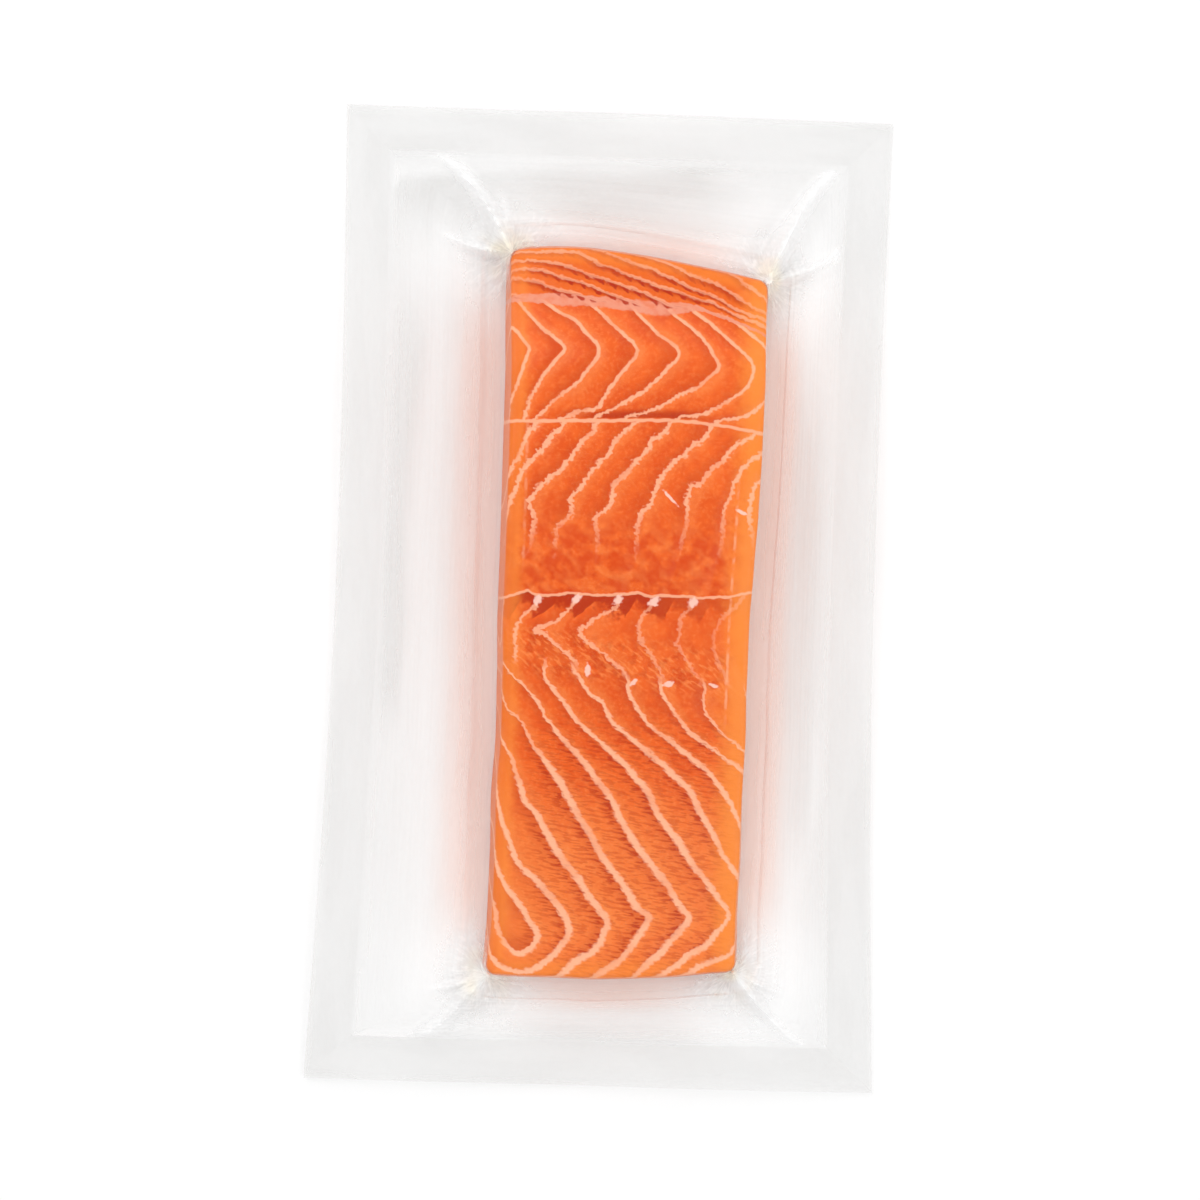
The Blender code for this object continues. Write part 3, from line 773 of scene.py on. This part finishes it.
def fleshMaterial():
    shader = Shader("salmonFlesh")
    look, reach, strong = fleshLook, fleshReach, fleshStrength
    back, loin, middle = shader.values("upperLines")
    backSteep, loinSteep, middleSteep = shader.values("upperSteepness")
    bones, belly, fold = shader.values("lowerLines")
    bonesSteep, bellySteep, thickness = shader.values("lowerSteepness")
    strip, septum, bone = shader.values("borders")
    across, down, _ = shader.values("places")
    width, length = packForm["fishSize"]
    fromLeft, fromRight = across * width, (1.0 - across) * width
    fromTop, fromBottom = down * length, (1.0 - down) * length
    x, y = (shader.node("ShaderNodeSeparateXYZ", {}, [shader.place], i) / mm for i in range(2))
    noises = {name: shader.noise(shader.place, *grain) for name, grain in look["noises"].items()}
    slow, medium, fine = (noises[name] for name in ("slow", "medium", "fine"))
    jag, tinyJag = ((noises[name] - 0.5) * 2.0 for name in ("jag", "tinyJag"))

    spacing, slant, unevenness = look["lineTeeth"]
    tooth = (y / spacing + x * slant + jag * unevenness).maths("FRACT") - 0.5

    def lines(band, phase, steep, shown, widened=1.0, ragged=1.0):  # pale cores, with painted shade left of each line and painted light right of it
        halfWidth, jagged, toothed, strength = look["lines"][band]
        jagged, toothed = jagged * ragged, toothed * ragged
        shift = (jag * jagged + tinyJag * (jagged * 0.6) + tooth * toothed) * steep
        share = (phase + shift + 0.5).maths("FRACT")  # 0.5 on a line, growing to the right of it
        away = abs(share - 0.5) / steep
        reached = (0.65 + medium * 0.7) * (halfWidth * widened)
        core = (1.0 - away.smooth(reached * 0.5, reached * 1.35)) * (0.75 + 0.25 * slow.smooth(0.35, 0.5))
        # painted shade on the left of each line, as if the flakes' relief shaded it
        paintedShade = share.smooth(0.0, 0.45) * (1.0 - share.smooth(0.46, 0.52))
        # painted light on the right of each line, the lit side of the next flake
        light = share.smooth(0.5, 0.56) * (1.0 - share.smooth(0.56, 0.95))
        return [part * (shown * strength) for part in (core, paintedShade, light)]

    # Where each band of muscle shows
    heights = {"strip": strip, "septum": septum, "bone": bone, "fold": fold}
    overStrip, overSeptum, overBone, overFold = (
        (heights[name] + jag * ragged).smooth(low, high)
        for name, (ragged, low, high) in look["borders"].items())
    inMiddle = overBone * (1.0 - overSeptum)
    inBelly = 1.0 - overFold
    middleFade = (y + jag * 5.0 + tinyJag * 3.0).smooth(*reach["middleLinesY"])
    bonesFade = 0.8 - 0.45 * x.smooth(*reach["boneLinesX"])
    bellyWidth = 0.5 + 0.4 * y.smooth(*reach["wideLinesY"])
    bellyWidth = bellyWidth - 0.3 * x.smooth(*reach["thinRightX"]) - 0.25 * x.smooth(*reach["thinLeftX"])
    loinRagged = 0.25 + 0.4 * septum.smooth(*reach["raggedOverSeptum"])
    bands = (
        lines("back", back, backSteep, overStrip),
        lines("loin", loin, loinSteep, overSeptum * (1.0 - overStrip), ragged=loinRagged),
        lines("middle", middle, middleSteep, inMiddle * middleFade),
        lines("bones", bones, bonesSteep, overFold * (1.0 - overBone) * bonesFade),
        lines("belly", belly, bellySteep, inBelly, widened=bellyWidth),
    )
    core, paintedShade, light = (sum(parts) for parts in zip(*bands))

    # Pale lines across the fish
    stripBody = 1.0 - (abs(strip + jag * 0.5 + tinyJag * 0.25) / thickness).smooth(0.75, 1.15)
    septumLine = 1.0 - abs(septum + jag * 0.35).smooth(0.25, 0.6)
    boneLine = 1.0 - abs(bone + jag * 0.45).smooth(0.2, 0.5)
    core = core.largest(septumLine * strong["crossLines"]).largest(boneLine * strong["crossLines"])

    # The back's lines: painted shade under them, and dark teeth
    underBack = (0.5 - (back + 0.5).maths("FRACT")) / backSteep
    underBack = underBack + (1.0 - underBack.smooth(-0.3, 0.0)) * 9.0
    # painted shade: deep red below each of the back's lines
    shadeUnderLines = (1.0 - (underBack - 1.0).smooth(-0.8, 0.9)) * overStrip
    toothDepth = 0.95 + (x * 2.3 + strip * 1.6 + jag * 1.8).maths("SINE") * 0.75 + tinyJag * 0.3
    teeth = (toothDepth - underBack).smooth(-0.25, 0.35) * underBack.smooth(0.25, 0.6) * overStrip
    teeth = teeth * (1.0 - (strip - thickness).smooth(*reach["teethOverStrip"]) * 0.85)
    teeth = teeth * (1.0 - abs(x - 7.0).smooth(*reach["teethFromMiddle"]) * 0.85)

    # Flesh between the lines
    redness = (medium * 0.6 + slow * 0.5).smooth(0.38, 0.72)
    hairVector = shader.vector(x * 0.3 + jag * 0.1, y * 1.5 + x * 0.25, 0.0)
    hairs = shader.noise(hairVector, 1.0, 1.0, 0.5, "2D").smooth(0.5, 0.6)
    hairs = hairs * (inBelly * y.smooth(*reach["hairsY"]) * x.smooth(*reach["hairsX"]))
    slit = septum.smooth(*reach["slitOverSeptum"]) * (1.0 - septum.smooth(*reach["slitTop"]))
    slit = slit * (1.0 - abs(x - 9.0).smooth(*reach["slitFromMiddle"]))
    smoothBand = inMiddle * y.smooth(*reach["smoothBandY"])
    patches = shader.noise(shader.vector(x * 0.3 + y * 0.2 + jag * 0.3, y * 0.25, 0.0), 1.0, 1.0, 0.5, "2D")
    wedgeDepth = 2.2 + 4.0 * (bones + 0.5 + jag * 0.06).maths("FRACT")
    wedge = (bone + wedgeDepth + jag * 1.4 + tinyJag * 0.8).smooth(-0.9, 1.2) * (1.0 - overBone)
    feather = (1.0 - abs(fold - 3.0).smooth(*reach["featherFromFold"])) * (1.0 - overBone)
    barbVector = shader.vector(x * 0.3 - y * 0.24 + jag * 0.2, x * 0.75 + y * 0.95, 0.0)
    barbs = shader.noise(barbVector, 1.0, 1.0, 0.5, "2D")

    # The cut edges
    paleLeft = 1.0 - (fromLeft + jag).smooth(*reach["paleFromLeft"])
    paleRight = 1.0 - (fromRight + jag * 1.5).smooth(*reach["paleFromRight"])
    paleEnds = 1.0 - fromTop.smooth(*reach["paleFromTop"]) * fromBottom.smooth(*reach["paleFromBottom"])
    edge = (paleLeft * strong["paleLeft"]).largest(paleRight * strong["paleRight"])
    edge = edge.largest(paleEnds * strong["paleEnds"])
    # painted shade: a redder band along the left edge, standing in for the shade of the fish's side
    paintedShadeLeftEdge = 1.0 - (fromLeft + jag * 0.4).smooth(*reach["shadeFromLeft"])
    creased = []
    for inside, name in ((fromLeft, "left"), (fromRight, "right")):
        distance, middleY, reachY, share = creases[name]
        crease = 1.0 - abs(inside - distance + jag * 0.25).smooth(0.15, 0.55)
        creased.append(crease * (1.0 - abs(y - middleY).smooth(*reachY)) * share)

    # Bone ends under the bone line, one on each of its lines, and the marks
    dotAway = jag * 0.55 + tinyJag * 0.5
    aside = ((bones + 0.5).maths("FRACT") - 0.5) * 9.8
    marks = 1.0 - ((aside ** 2.0 + (bone + 1.3) ** 2.0) ** 0.5 + dotAway).smooth(0.8, 1.5)
    marks = marks * x.smooth(*reach["dotsStartX"]) * (1.0 - x.smooth(*reach["dotsEndX"]))
    for markX, markY, degrees, halfLength, halfWidth in boneMarks:
        toX, toY = heading(degrees)
        offX, offY = x - markX, y - markY
        along = (offX * toX + offY * toY) / halfLength
        side = (offX * toY - offY * toX) / halfWidth
        marks = marks.largest(1.0 - ((along ** 2.0 + side ** 2.0) ** 0.5 + dotAway).smooth(0.65, 1.2))

    painted = shader.mix(redness * strong["red"], look["orange"], look["red"])
    layers = (
        (fine.smooth(0.45, 0.7) * strong["specks"], "light"),
        (y.smooth(*reach["paleBellyY"]) * strong["paleBelly"], "light"),
        (overStrip * strong["amber"], "amber"),
        # painted light and painted shade on the two sides of each line
        (light * (strong["paintedLightRight"] - 0.3 * overStrip), "light"),
        (paintedShade * (strong["paintedShadeLeft"] + 0.6 * overStrip) * (0.6 + fine * 0.8), "deepRed"),
        # painted shade under the back's lines
        (shadeUnderLines * strong["underBack"], "deepRed"),
        (hairs * (strong["hairs"] + 0.5 * paintedShade), "deepRed"),
        (slit * strong["slit"], "deepRed"),
        (smoothBand * medium.smooth(0.35, 0.6) * strong["smoothBand"], "red"),
        (smoothBand * patches.smooth(0.4, 0.8) * strong["patches"], "light"),
        (wedge * (strong["wedge"] - x.smooth(*reach["wedgeFadeX"]) * 0.5), "deepRed"),
        (feather * barbs.smooth(0.5, 0.68) * strong["barbs"], "light"),
        (feather * medium.smooth(0.5, 0.66) * strong["featherDark"], "deepRed"),
        (edge, "edge"),
        # painted shade along the left edge
        (paintedShadeLeftEdge * strong["paintedShadeLeftEdge"], "red"),
        (core.smallest(1.0) * strong["lines"], "line"),
        (stripBody * (strong["strip"] - medium.smooth(0.42, 0.7) * 0.4), "strip"),
        (teeth * strong["teeth"], "deepRed"),
        (marks * strong["marks"], "bone"),
        (creased[0].largest(creased[1]) * medium.smooth(0.3, 0.6) * strong["creases"], "line"),
    )
    for share, name in layers:
        painted = shader.mix(share, painted, look[name])
    relief = fine * 0.4 + medium * 0.5 + core * 0.5 - hairs * 0.3
    shader.fill(shader.principled, {
        "Base Color": painted,
        "Roughness": look["roughness"],
        "Specular IOR Level": look["specular"],
        "Coat Weight": look["coatWeight"],
        "Coat Roughness": look["coatRoughness"],
        "Normal": shader.bump(relief, look["reliefDepth"], look["reliefStrength"]),
    })
    return shader.material


salmon = makePortion()
salmon.data.materials.append(fleshMaterial())
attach(salmon, "root")
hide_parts(packNode)
print("salmon portion:", len(salmon.data.polygons), "faces")


# The vacuum film, one closed envelope

film = {
    "cells": (64, 180),
    "crowding": 0.75,
    "shoulderRings": 5,
    "wallRings": 6,
    "footRings": 6,
    "marginRings": 34,
    "sealRings": 5,
    "lowerRings": 10,
    "gap": 0.12,  # between the two films where they lie together
    "lift": 0.2,  # of the upper film over the lower, inside the seal
    "liftAtFish": 0.5,
    "streaks": (0.04, 2.6, 14.0),  # height, width, and length as a multiple of the width
    "foldFade": 5.0,
    "foldWander": (1.2, 23.0),  # how far, and over what length
    "foldShade": (2.6, 0.5),  # reach of the painted shade on a fold's two sides, in half widths
    "bottomHeight": 0.02,
}

# Gathers at the fish's corners: corner, direction in degrees, length, height, half width, sideways bend.
gathers = {
    "main": (
        (0, 128.0, 40.0, 8.0, 2.2, 3.0), (0, 158.0, 26.0, 4.0, 1.6, -2.0), (0, 104.0, 22.0, 3.4, 1.5, 1.5),
        (1, 55.0, 46.0, 9.0, 2.4, -3.0), (1, 26.0, 28.0, 4.5, 1.7, 2.0), (1, 78.0, 24.0, 3.6, 1.5, 1.0),
        (2, -44.0, 34.0, 6.0, 2.0, 2.0), (2, -72.0, 24.0, 3.6, 1.5, -1.5), (2, -20.0, 20.0, 2.8, 1.4, 1.0),
        (3, 218.0, 40.0, 6.5, 2.2, -2.5), (3, 248.0, 24.0, 3.4, 1.6, 1.5), (3, 194.0, 20.0, 2.8, 1.4, -1.0),
    ),
    "fineEachCorner": 6,
    "fineSpread": 42.0,
    "fineLength": (9.0, 20.0),
    "fineHeight": (0.3, 0.9),
    "fineHalfWidth": (1.1, 1.9),
    "fineMiddles": (131.0, 52.0, -46.0, 221.0),
    "fineBend": 2.5,
    "taper": 1.5,
    "endWidth": 0.55,
    "overlap": 0.15,
    "shoulderGap": 1.0,
}

# Long shallow folds of the margins: start, end, height, half width and the greyness of the painted shade
# beside them.
marginFolds = (
    ((-62.0, 106.0), (44.0, 109.5), 1.3, 4.5, 1.0),
    ((-20.0, 117.5), (62.0, 113.5), 0.7, 2.5, 0.5),
    ((-46.0, 88.0), (-52.0, -40.0), 1.2, 3.5, 0.8),
    ((-58.0, 60.0), (-62.0, -90.0), 0.9, 2.5, 0.6),
    ((57.0, 66.0), (52.0, -76.0), 1.2, 3.5, 0.7),
    ((64.0, 30.0), (60.0, -100.0), 0.7, 2.2, 0.5),
    ((-50.0, -109.5), (40.0, -111.0), 1.1, 4.0, 0.8),
    ((-30.0, -117.0), (56.0, -117.5), 0.6, 2.2, 0.4),
)


def allGathers():
    random = np.random.default_rng(12)
    made = list(gathers["main"])
    bend = gathers["fineBend"]
    for corner, middle in enumerate(gathers["fineMiddles"]):
        for _ in range(gathers["fineEachCorner"]):
            direction = middle + gathers["fineSpread"] * random.uniform(-1, 1)
            sizes = [random.uniform(*gathers[key]) for key in ("fineLength", "fineHeight", "fineHalfWidth")]
            made.append((corner, direction, *sizes, random.uniform(-bend, bend)))
    return made


def gatherHeight(x, y):  # height of the gathers above the flat margin
    total = np.zeros_like(x)
    for corner, degrees, length, height, halfWidth, bend in allGathers():
        startX, startY = packForm["fishCorners"][corner]
        toX, toY = heading(degrees)
        along = (x - startX) * toX + (y - startY) * toY
        inside = np.clip(along, 0, length)
        side = (x - startX) * toY - (y - startY) * toX
        side = side - bend * np.sin(np.pi * inside / length)
        away = np.hypot(side, along - inside)
        fall = (1 - inside / length) ** gathers["taper"]
        narrowed = halfWidth * (gathers["endWidth"] + (1 - gathers["endWidth"]) * fall)
        total = np.maximum(total, height * fall * bell(away / narrowed))
        total = total + gathers["overlap"] * height * fall * bell(away / halfWidth)
    return total


def foldShapes(x, y):  # height of the margins' long folds, and the grey of the painted shade beside them
    height, grey = np.zeros_like(x), np.zeros_like(x)
    (wander, span), (wide, narrow) = film["foldWander"], film["foldShade"]
    for (startX, startY), (endX, endY), rise, halfWidth, greyness in marginFolds:
        length = math.hypot(endX - startX, endY - startY)
        toX, toY = (endX - startX) / length, (endY - startY) / length
        along = (x - startX) * toX + (y - startY) * toY
        side = (y - startY) * toX - (x - startX) * toY
        side = side + wander * softNoise(along, along * 0 + startX, span, 31)
        share = np.clip(along / length, 0, 1)
        shown = smoothStep(share * film["foldFade"]) * smoothStep((1 - share) * film["foldFade"])
        height += rise * shown * bell(side / halfWidth)
        # painted shade: grey beside each fold, reaching further on one side
        shade = bell(side / (np.where(side < 0, wide, narrow) * halfWidth))
        grey = np.maximum(grey, greyness * shown * shade)
    return height, grey


def marginUnder(across, down, outward):  # height of the pouch's underside round the fish
    form = packForm
    around = np.arctan2(0.5 - down, across - 0.5)
    count, share, phase = form["curlWaves"]
    wave = 1 + share * np.sin(count * around + phase)
    nearCorner = (abs(2 * across - 1) * abs(2 * down - 1)) ** 3
    curl = form["marginCurl"] * wave * (1 - form["cornerCurlLoss"] * nearCorner)
    return form["marginClearance"] + curl * smoothStep(outward) * outward


def placeUpperFilm(across, down, ring):
    form = packForm
    shoulder, wall, foot = film["shoulderRings"], film["wallRings"], film["footRings"]
    margin, seal = film["marginRings"], film["sealRings"]
    footRadius, spread = form["footRadius"], form["wallSpread"]
    top = fishHeight(across, down)
    floorTop = form["marginClearance"] + film["lift"]
    counts, footAt = (shoulder, wall, foot), floorTop + footRadius
    grow, height = sideProfile(ring, counts, top, form["shoulderRadius"], spread, footRadius, footAt)
    plan = fishPlan(across, down, grow)
    gathered = gatherHeight(plan[:, 0], plan[:, 1])
    raised = np.minimum(floorTop + gathered, top - gathers["shoulderGap"])
    height = np.where(ring > shoulder, np.maximum(height, raised), height)

    outShare = np.clip((ring - shoulder - wall - foot) / margin, 0, 1)
    sealShare = np.clip((ring - shoulder - wall - foot - margin) / seal, 0, 1)
    inMargin = ring > shoulder + wall + foot
    inner = fishPlan(across, down, np.full_like(across, spread + footRadius))
    outer = pouchPlan(across, down, np.full_like(across, form["sealWidth"]))
    rim = pouchPlan(across, down, form["sealWidth"] * (1 - sealShare))
    flat = np.where(sealShare[:, None] > 0, rim, inner + (outer - inner) * outShare[:, None])
    plan = np.where(inMargin[:, None], flat, plan)
    outward = form["sealStarts"] * outShare + (1 - form["sealStarts"]) * sealShare
    under = marginUnder(across, down, outward)
    x, y = plan[:, 0], plan[:, 1]
    gathered = np.where(sealShare > 0, 0.0, gatherHeight(x, y) * smoothStep((1 - outShare) * 6))
    loose = smoothStep(outShare * 8) * smoothStep((1 - outShare) * 8)
    folded, grey = foldShapes(x, y)
    sideways = abs(2 * across - 1) > abs(2 * down - 1)
    rise, width, stretch = film["streaks"]
    streak = rise * softNoise(np.where(sideways, x, y), np.where(sideways, y, x) / stretch, width, 21)
    gap = film["gap"] + np.where(sealShare > 0, 0.0, film["lift"] + film["liftAtFish"] * (1 - outShare))
    height = np.where(inMargin, under + gap + gathered + loose * (streak + folded), height)
    height = np.where(ring == shoulder + wall + foot + margin + seal, under, height)
    return x, y, height, gathered, grey * loose


def placeLowerFilm(across, down, ring):
    rings = film["lowerRings"]
    inner = fishPlan(across, down, np.full_like(across, -1.0))
    outer = pouchPlan(across, down, np.zeros_like(across))
    share = np.clip(ring / rings, 0, 1)
    plan = inner + (outer - inner) * share[:, None]
    under = marginUnder(across, down, share)
    bottom = film["bottomHeight"]
    height = bottom + (under - bottom) * smoothStep(share * 4)
    height = np.where(ring == rings, under, height)
    return plan[:, 0], plan[:, 1], height


def cornerFan(x, y):  # angle and distance about the nearest corner of the fish
    best = np.full_like(x, 1e9)
    angle = np.zeros_like(x)
    for corner, (startX, startY) in enumerate(packForm["fishCorners"]):
        far = np.hypot(x - startX, y - startY)
        turned = np.arctan2(y - startY, x - startX) + corner * 7.0
        angle = np.where(far < best, turned, angle)
        best = np.minimum(best, far)
    return angle, best


filmLook = {
    "white": colour(254, 254, 254),
    "grey": colour(200, 198, 195),
    "cream": colour(255, 246, 224),
    # painted glow of light thrown from the fish onto the film
    "fishGlow": colour(255, 220, 207),
    # Haze
    "overFish": 0.0,
    "shoulder": 0.02,
    # painted highlight along the right side's shoulder
    "rightEdgeHighlight": 0.35,
    "wall": 0.05,
    # heavier haze at the film's foot, with the pink glow: painted light over the fish's shade on the floor
    # beside it
    "foot": 0.36,
    "outsideFoot": (0.324, 3),  # and how many rings out
    "margin": (0.17, 15),
    "seal": 0.28,
    "sealEdge": 0.3,
    "rim": 0.38,
    "fold": 0.1,
    "gather": (0.22, 2.5),  # and the height that has it all
    "corner": (0.3, 13.0),  # and its reach from the fish's corners
    "under": 0.03,
    # Greyness, a painted pink glow of light thrown from the fish beside it, and cream at its corners
    "flatGrey": (0.45, 8),  # and the rings over which it grows
    "topGrey": (0.3, 28),  # and the rings over which it fades
    "foldPaintedShade": 0.4,
    "sealGrey": 0.65,
    "gatherWhite": 1.5,
    "cornerWhite": 25.0,
    "glowRings": 18,
    "glowFromCorner": 30.0,
    "glowLostPastEnds": 0.65,
    "creamReach": 16.0,
    "creamGrain": 3.0,
    "roughness": 0.2,
    "specular": 0.9,
    "glint": 0.12,  # more haze where the film over the fish is seen edge on
    "thread": 0.2,
}


def filmValues(x, y, ring, gathered, grey, far):  # haze, greyness (with the folds' painted shade) and warmth (the painted pink glow from the fish, less cream) at each point of the upper film
    look = filmLook
    shoulder = film["shoulderRings"]
    wallEnd = shoulder + film["wallRings"]
    footEnd = wallEnd + film["footRings"]
    sealStart = footEnd + film["marginRings"]
    rim = sealStart + film["sealRings"]
    (outside, outsideRings), (margin, marginRings) = look["outsideFoot"], look["margin"]
    hazes = ((0, look["overFish"]), (shoulder - 1, look["shoulder"]), (shoulder + 1, look["wall"]),
             (wallEnd, look["wall"]), (footEnd - 1, look["foot"]), (footEnd, look["foot"]),
             (footEnd + outsideRings, outside), (footEnd + marginRings, margin),
             (sealStart, look["sealEdge"]), (sealStart + 1, look["seal"]), (rim - 1, look["seal"]),
             (rim, look["rim"]))
    haze = np.interp(ring, *zip(*hazes))
    inFilm = (ring > shoulder).astype(float)
    (gather, fullHeight), (corner, cornerReach) = look["gather"], look["corner"]
    # haze rises with the folds' painted shade, so that its grey shows
    haze = haze + inFilm * (look["fold"] * grey + gather * smoothStep(gathered / fullHeight))
    haze = haze + inFilm * corner * smoothStep(1 - far / cornerReach)
    # painted highlight: a bright line of haze along the right side's shoulder
    edgeHighlight = (abs(ring - shoulder + 1) < 1) * (x > 0) * smoothStep(0.5 + 1.5 * softNoise(y, y * 0, 22.0, 61))
    haze = haze + look["rightEdgeHighlight"] * edgeHighlight

    out = ring - footEnd
    (flatGrey, growRings), (topGrey, fadeRings) = look["flatGrey"], look["topGrey"]
    pastEnds = smoothStep((y - 88.0) / 6.0) + 0.4 * smoothStep((-y - 94.0) / 6.0)
    greyness = flatGrey * smoothStep(out / growRings) + topGrey * pastEnds * smoothStep(1 - out / fadeRings)
    towardsBelly = smoothStep((-y - 60.0) / 40.0)
    # the folds' painted shade adds to the greyness
    greyness = inFilm * (greyness + look["foldPaintedShade"] * grey) * (1 - 0.3 * towardsBelly)
    greyness = greyness - smoothStep(gathered / look["gatherWhite"])
    greyness = greyness - smoothStep(1 - far / look["cornerWhite"])
    greyness = np.where(ring >= sealStart, look["sealGrey"], np.clip(greyness, 0, 1))
    # painted light: a pink glow beside the fish, as light thrown off its flesh
    fishGlow = smoothStep(1 - out / look["glowRings"]) * inFilm
    fishGlow = fishGlow * (1 - smoothStep(1 - far / look["glowFromCorner"]))
    cream = smoothStep(1 - far / look["creamReach"]) * inFilm
    cream = cream * (0.5 + 0.5 * softNoise(x, y, look["creamGrain"], 41))
    warmth = fishGlow * (1 - look["glowLostPastEnds"] * pastEnds) - cream
    return haze, greyness, warmth


def makeFilm():
    cellsAcross, cellsAlong = film["cells"]
    rings = sum(film[key] for key in ("shoulderRings", "wallRings", "footRings", "marginRings", "sealRings"))
    upper = tray("vacuumFilm", cellsAcross, cellsAlong, rings)
    lower = tray("vacuumFilmUnder", cellsAcross, cellsAlong, film["lowerRings"])
    upper.data.materials.append(filmMaterial())
    lower.data.materials.append(underFilmMaterial())
    for piece in (upper, lower):
        across, down, ring = gridShares(piece, film["crowding"])
        if piece is upper:
            x, y, z, gathered, grey = placeUpperFilm(across, down, ring)
            angle, far = cornerFan(x, y)
            filmParts = filmValues(x, y, ring, gathered, grey, far)
        else:
            x, y, z = placeLowerFilm(across, down, ring)
            angle, far = cornerFan(x, y)
            filmParts = [np.full(len(x), value) for value in (filmLook["rim"], filmLook["sealGrey"], 0.0)]
            ring = ring + rings - film["lowerRings"]  # counted on from the rim's end
        placePoints(piece, np.column_stack((x, y, z)))
        sideways = abs(2 * across - 1) > abs(2 * down - 1)
        side = np.where(sideways, np.where(x > 0, 0, 1), np.where(y > 0, 2, 3))
        outwards = np.where(sideways, 0.75, 0.55) * ring + 60 * side
        giveValues(piece, "fan", (angle, far, ring < rings - film["marginRings"] - film["sealRings"]))
        giveValues(piece, "streaks", (outwards, np.where(sideways, y, x), sideways))
        giveValues(piece, "filmParts", filmParts)
    return joinRims(upper, lower)


def filmMaterial():
    shader = Shader("clearFilm")
    look = filmLook
    angle, far, onFish = shader.values("fan")
    acrossStreak, alongStreak, _ = shader.values("streaks")
    haze, greyness, warmth = shader.values("filmParts")
    streaks = shader.noise(shader.vector(acrossStreak * 0.6, alongStreak * 0.03, 0.0), 1.0, 1.0, 0.5, "2D")
    threads = shader.noise(shader.vector(angle * 5.0, far * 0.25, 0.0), 1.0, 2.0, 0.6, "2D")
    streaky = haze * (0.88 + 0.24 * streaks.smooth(0.35, 0.7))
    nearCorner = 1.0 - far.smooth(4.0, 18.0)
    thread = threads.smooth(0.42, 0.7) * nearCorner * haze.smooth(0.05, 0.1)
    edgeOn = shader.node("ShaderNodeLayerWeight", {}, {"Blend": 0.3}, "Facing")
    glint = edgeOn ** 3.0 * onFish * look["glint"]
    alpha = (streaky + thread * look["thread"] + glint + 0.003).smallest(0.9)
    tint = shader.mix(greyness, look["white"], look["grey"])
    # painted pink glow of light from the fish
    tint = shader.mix(warmth.smooth(0.0, 1.0), tint, look["fishGlow"])
    tint = shader.mix(warmth.smooth(0.0, -1.0), tint, look["cream"])
    shader.fill(shader.principled, {
        "Base Color": tint,
        "Roughness": look["roughness"],
        "Specular IOR Level": look["specular"],
        "Alpha": alpha,
    })
    return shader.material


def underFilmMaterial():
    shader = Shader("clearFilmUnder")
    inputs = {"Base Color": filmLook["white"], "Roughness": filmLook["roughness"], "Alpha": filmLook["under"]}
    shader.fill(shader.principled, inputs)
    return shader.material


vacuumFilm = makeFilm()
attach(vacuumFilm, "root")
print("vacuum film:", len(vacuumFilm.data.polygons), "faces")
